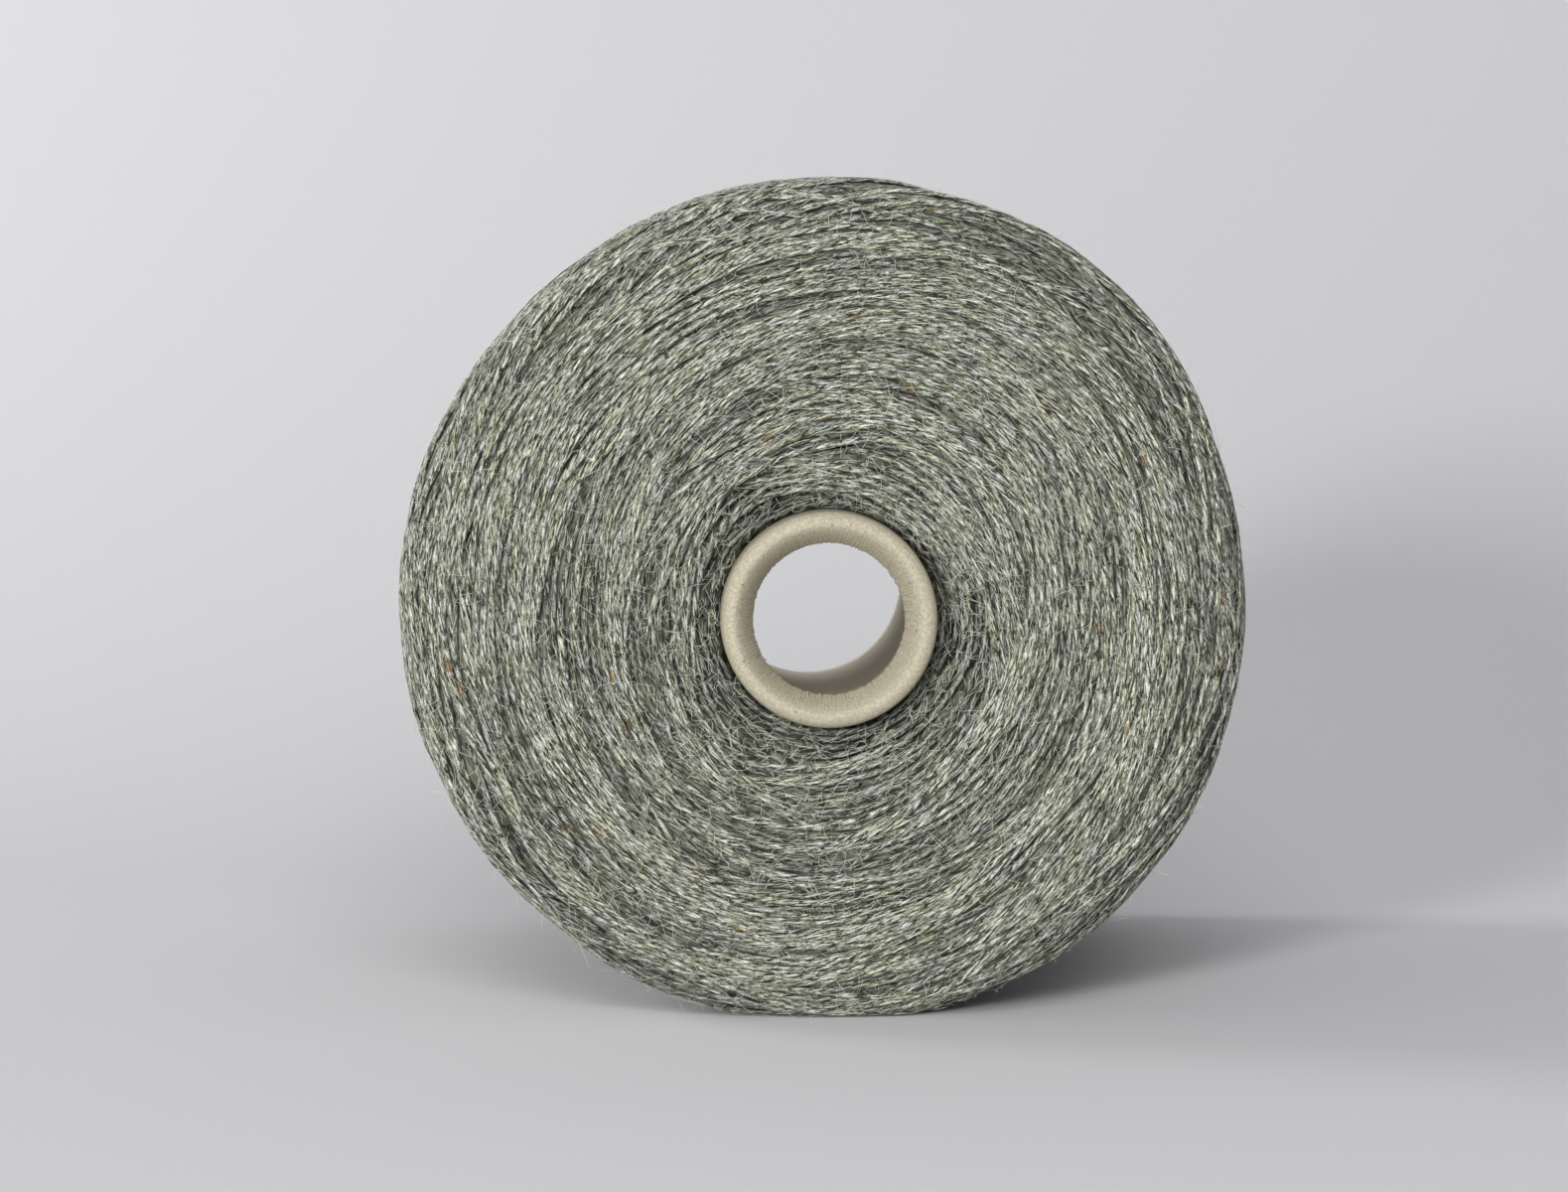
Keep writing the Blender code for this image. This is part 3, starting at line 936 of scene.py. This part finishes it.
def laps(rng, direction, share, group, depth_range, segment):
    """Groups of laps side by side, spread evenly round the package."""
    radius = CORNER_RADIUS + CORNER_DEPTH
    step = STRAND_PITCH / math.sin(WIND_ANGLE) / radius
    places = int(math.tau / step)
    strands = []
    groups = max(int(places * share / group), 1)
    for i in range(groups):
        start = math.tau * (i + rng.uniform(-GROUP_JITTER, GROUP_JITTER)) / groups
        depth = rng.uniform(*depth_range)
        for k in range(group):
            deep = depth + rng.uniform(0, LAP_JITTER) * MM
            strands.append(lap(rng, start + k * step, direction, deep, segment))
    return strands


under = laps(rng, direction=1, share=1.3, group=5, depth_range=SIDE_UNDER, segment=LAP_STEP)
add_strands("side_under", under, sides=5)
over = laps(rng, direction=-1, share=0.9, group=4, depth_range=SIDE_OVER, segment=LAP_STEP)
over += laps(rng, direction=1, share=0.45, group=3, depth_range=SIDE_TOP, segment=LAP_STEP)
add_strands("side_over", over, sides=5)

# %% [markdown]
# ## Stray fibres
#
# Woollen yarn is hairy: short fibres stand off the strands, lie across them, and blur the
# outline against the light. Each is a thin curved tube of three sides.

# %% Stray fibres
FIBRE_RADIUS = 0.028 * MM
FIBRE_POINTS = 4
FIBRE_ROOT = 0.25 * MM   # how deep a fibre starts
FIBRE_TURN = 0.7         # radians, typical turn away from the strands
FIBRE_BEND = 0.45
FIBRE_SAG = (-0.6, 0.1)  # the tips bend back to the wool more often than away from it
SHORTEST_FIBRE = 0.8     # mm
FIBRE_LONGER = (1.6, 0.7)         # shape and scale of what comes on top, many short and few long
LOWEST_FIBRE = 0.1 * MM
SMALL_ANGLE = 0.01       # radians, to find the way round the tube
FIBRE_COLOUR = "C9CABB"
FIBRE_ROUGHNESS = 0.6
FRONT_FIBRES = 7500
SIDE_FIBRES = 2600
FRONT_LIFT = 0.45        # the most that a fibre rises for its length along the wool
SIDE_LIFT = 0.6


def stray_fibres(rng, count, low, high, lift):
    """Curved fibres that start on the surface between two places of the outline."""
    angle = rng.uniform(0, math.tau, count)
    along = rng.uniform(low, high, count)
    base, normal = on_surface(angle, along)
    round_way = on_surface(angle + SMALL_ANGLE, along)[0] - base
    round_way /= np.linalg.norm(round_way, axis=1, keepdims=True)
    out_way = np.cross(round_way, normal)
    turn = rng.normal(0, FIBRE_TURN, count)[:, None]
    start_way = np.cos(turn) * round_way + np.sin(turn) * out_way
    start_way += normal * rng.uniform(0.0, lift, count)[:, None]
    bend = rng.normal(0, FIBRE_BEND, (count, 3))
    bend += normal * rng.uniform(*FIBRE_SAG, count)[:, None]
    length = (SHORTEST_FIBRE + rng.gamma(*FIBRE_LONGER, count)[:, None]) * MM
    t = np.linspace(0, 1, FIBRE_POINTS)
    strands = []
    for i in range(count):
        side = 1 if rng.random() < 0.5 else -1
        points = base[i] - normal[i] * FIBRE_ROOT + side * length[i] * t[:, None] * start_way[i]
        points = points + length[i] * (t ** 2)[:, None] * bend[i]
        points[:, 2] = np.maximum(points[:, 2], LOWEST_FIBRE)
        normals = np.repeat(normal[i][None], FIBRE_POINTS, axis=0)
        strands.append(Strand(points, normals, np.ones(FIBRE_POINTS), 0.0, np.zeros(FIBRE_POINTS)))
    return strands


def add_fibres(name, strands, material):
    """Sweep fibres as thin three-sided tubes."""
    item = sweep(name, strands, radius=FIBRE_RADIUS, sides=3)
    item.data.materials.append(material)


fibre, fibre_shader = new_material("loose_wool_fibre")
fibre_shader.inputs["Base Color"].default_value = linear(FIBRE_COLOUR)
fibre_shader.inputs["Roughness"].default_value = FIBRE_ROUGHNESS
add_fibres("fibres_front", stray_fibres(rng, FRONT_FIBRES, 0.0, SIDE_START, FRONT_LIFT), fibre)
add_fibres("fibres_side", stray_fibres(rng, SIDE_FIBRES, SIDE_START, MAP_RUN, SIDE_LIFT), fibre)

# %% [markdown]
# ## The card tube
#
# The tube is rolled from grey board and its nose is curled inwards on a hot die. The curl is
# smooth outside and crimped into fine pleats towards its raw, ragged inner edge: both are
# modelled, by pushing the points of a turned outline in and out as they go round. The inside
# wall is painted much paler than the board, as painted light where little light reaches in. The
# innermost ply is a paler paper, which keeps the inside of the tube light.

# %% Outline of the tube's wall
BEAD_RADIUS = 2.0 * MM   # of the outer half of the curl
CURL_WIDTH = 3.2 * MM    # of its inner half, a longer slope
CURL_DEPTH = 4.8 * MM
CURL_POWER = 1.7         # 1 would be a straight cone, 2 a round bowl
CURL_REACH = 0.8 * MM    # the raw edge points on along the tube for this long
TUBE_WALL = 2.0 * MM
CARD_EDGE = 0.6 * MM
BASE_CHAMFER = 0.5 * MM
CURL_STEPS = 18
BEAD_STEPS = 10
WALL_STEPS = 12
EDGE_STEPS = 4
WALL_START = 0.05        # shares of the tube's length, outside
WALL_END = 0.997
INNER_START = 0.034      # the same inside, behind the curl


def tube_profile():
    """Closed outline of the wall as (distance from the axis, depth behind the nose)."""
    nose_radius = NOSE_WIDTH / 2
    crest = nose_radius - BEAD_RADIUS
    hole = crest - CURL_WIDTH
    slope = (BASE_RADIUS - nose_radius) / TUBE_LENGTH
    curl = [(hole, CURL_DEPTH + CURL_REACH * t) for t in np.linspace(1, 0.2, EDGE_STEPS)]
    curl += [(crest - CURL_WIDTH * t, CURL_DEPTH * t ** CURL_POWER)
             for t in np.linspace(1, 0, CURL_STEPS, endpoint=False)]
    arc = [(crest + BEAD_RADIUS * math.sin(t), BEAD_RADIUS * (1 - math.cos(t)))
           for t in np.linspace(0, math.pi / 2, BEAD_STEPS)]
    outside = np.linspace(WALL_START, WALL_END, WALL_STEPS) * TUBE_LENGTH
    outer = [(nose_radius + slope * d, d) for d in outside]
    base = [(BASE_RADIUS - BASE_CHAMFER, TUBE_LENGTH),
            (BASE_RADIUS - TUBE_WALL + BASE_CHAMFER, TUBE_LENGTH)]
    inwards = np.linspace(WALL_END, INNER_START, WALL_STEPS) * TUBE_LENGTH
    inner = [(nose_radius + slope * d - TUBE_WALL, d) for d in inwards]
    behind = [(hole + CARD_EDGE, CURL_DEPTH + CURL_REACH + CARD_EDGE / 2)]
    before_inner = len(curl + arc + outer + base)
    inside = (before_inner, before_inner + len(inner))
    return np.array(curl + arc + outer + base + inner + behind), len(curl), inside


print("outline of the wall:", len(tube_profile()[0]), "points")

# %% [markdown]
# ## Card, and painted light inside the tube
#
# Grey board is pressed from waste paper pulp. It is dull, mottled where the pulp has clotted,
# and has a few dark specks. The inside wall gets the same card, painted paler as painted
# light. One function makes both, with a noise for the clots, cells for the specks, and the
# clots again as relief.

# %% Materials of the tube
PULP_SIZE = 0.45         # mm from one clot of pulp to the next
PULP_DETAIL = 4.0
CARD = ((0.30, "8D8771"), (0.50, "9A9380"), (0.70, "AAA48F"))
# painted light: the inside wall is much paler than the board, where little light reaches
INNER_WALL_PAINTED_LIGHT = ((0.30, "E9E2D0"), (0.50, "F0EADB"), (0.70, "F4EFE3"))
SPECKS_PER_METRE = 420.0
SPECK_CORE = 0.05        # of the distance between specks: fully dark within this
SPECK_RIM = 0.12
SPECK_LIGHT = 0.5        # share of the card's brightness that a speck has
CARD_BUMP = {"Strength": 0.4, "Distance": 0.1 * MM}
CARD_ROUGHNESS = 0.7


def card_material(name, colours):
    """Board, plain or painted paler: pressed pulp, dull, mottled, with a few dark specks."""
    card, shader = new_material(name)
    spots = add_node(card, "ShaderNodeTexCoord").outputs["Object"]
    pulp = add_node(card, "ShaderNodeTexNoise", i0=spots, Scale=1000 / PULP_SIZE, Detail=PULP_DETAIL)
    speck = add_node(card, "ShaderNodeTexVoronoi", i0=spots, Scale=SPECKS_PER_METRE)
    dots = add_node(card, "ShaderNodeMapRange", i0=speck.outputs["Distance"], i1=SPECK_CORE, i2=SPECK_RIM,
                    i3=SPECK_LIGHT, i4=1.0)
    colour = multiply(card, ramp(card, pulp.outputs["Fac"], colours).outputs[0], dots.outputs[0])
    card.node_tree.links.new(colour, shader.inputs["Base Color"])
    bump = add_node(card, "ShaderNodeBump", Height=pulp.outputs["Fac"], **CARD_BUMP)
    card.node_tree.links.new(bump.outputs[0], shader.inputs["Normal"])
    shader.inputs["Roughness"].default_value = CARD_ROUGHNESS
    return card


board = card_material("pressed_grey_board", CARD)
inside_painted_light = card_material("card_inside_painted_light", INNER_WALL_PAINTED_LIGHT)
print("materials", board.name, "and", inside_painted_light.name)

# %% Card tube
TUBE_STEPS = 840
CURL_RAG = 0.12 * MM
RAG_SPAN = 3             # steps over which the torn edge is smoothed
RAG_ROWS = 2             # the tear fades out over the first half of the curl
PLEATS = 150             # round the nose, about one every half millimetre at the inner edge
PLEAT_DEPTH = 0.12 * MM
PLEAT_DRIFT = 0.12       # radians from step to step, so that the pleats aren't all alike


def make_tube(rng):
    """The wall's outline turned round the axis, its curled edge left ragged."""
    profile, curled, inside = tube_profile()
    rows = len(profile)
    angle = math.tau * np.arange(TUBE_STEPS) / TUBE_STEPS
    radius = np.repeat(profile[:, :1], TUBE_STEPS, axis=1)
    depth = np.repeat(profile[:, 1:], TUBE_STEPS, axis=1)
    torn = np.tile(rng.normal(0, 1, TUBE_STEPS), 3)
    rag = np.convolve(torn, np.ones(RAG_SPAN) / RAG_SPAN, "same")[TUBE_STEPS:2 * TUBE_STEPS]
    pleat = np.sin(PLEATS * angle + np.cumsum(rng.normal(0, PLEAT_DRIFT, TUBE_STEPS)))
    for row in range(curled):
        radius[row] += rag * CURL_RAG * max(0.0, 1 - RAG_ROWS * row / curled)
        depth[row] += pleat * PLEAT_DEPTH * (1 - row / curled)
    x = AXIS_X + radius * np.cos(angle)
    z = AXIS_Z + radius * np.sin(angle)
    points = np.stack([x, NOSE_Y + depth, z], axis=2)
    i = np.arange(rows)[:, None]
    j = np.arange(TUBE_STEPS)[None, :]
    here, below = i * TUBE_STEPS, (i + 1) % rows * TUBE_STEPS
    j2 = (j + 1) % TUBE_STEPS
    quads = np.stack([here + j, below + j, below + j2, here + j2], axis=2)
    uvs = np.zeros((rows * TUBE_STEPS * 4, 2))
    tube = mesh_from_arrays("curled_card_tube", points.reshape(-1, 3), quads.reshape(-1, 4), uvs)
    tube.data.materials.append(board)
    tube.data.materials.append(inside_painted_light)
    # the inside wall's faces take the card with painted light
    ply = np.repeat((np.arange(rows) >= inside[0]) & (np.arange(rows) < inside[1]), TUBE_STEPS)
    tube.data.polygons.foreach_set("material_index", ply.astype(np.int32))
    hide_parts("card_tube")


make_tube(rng)
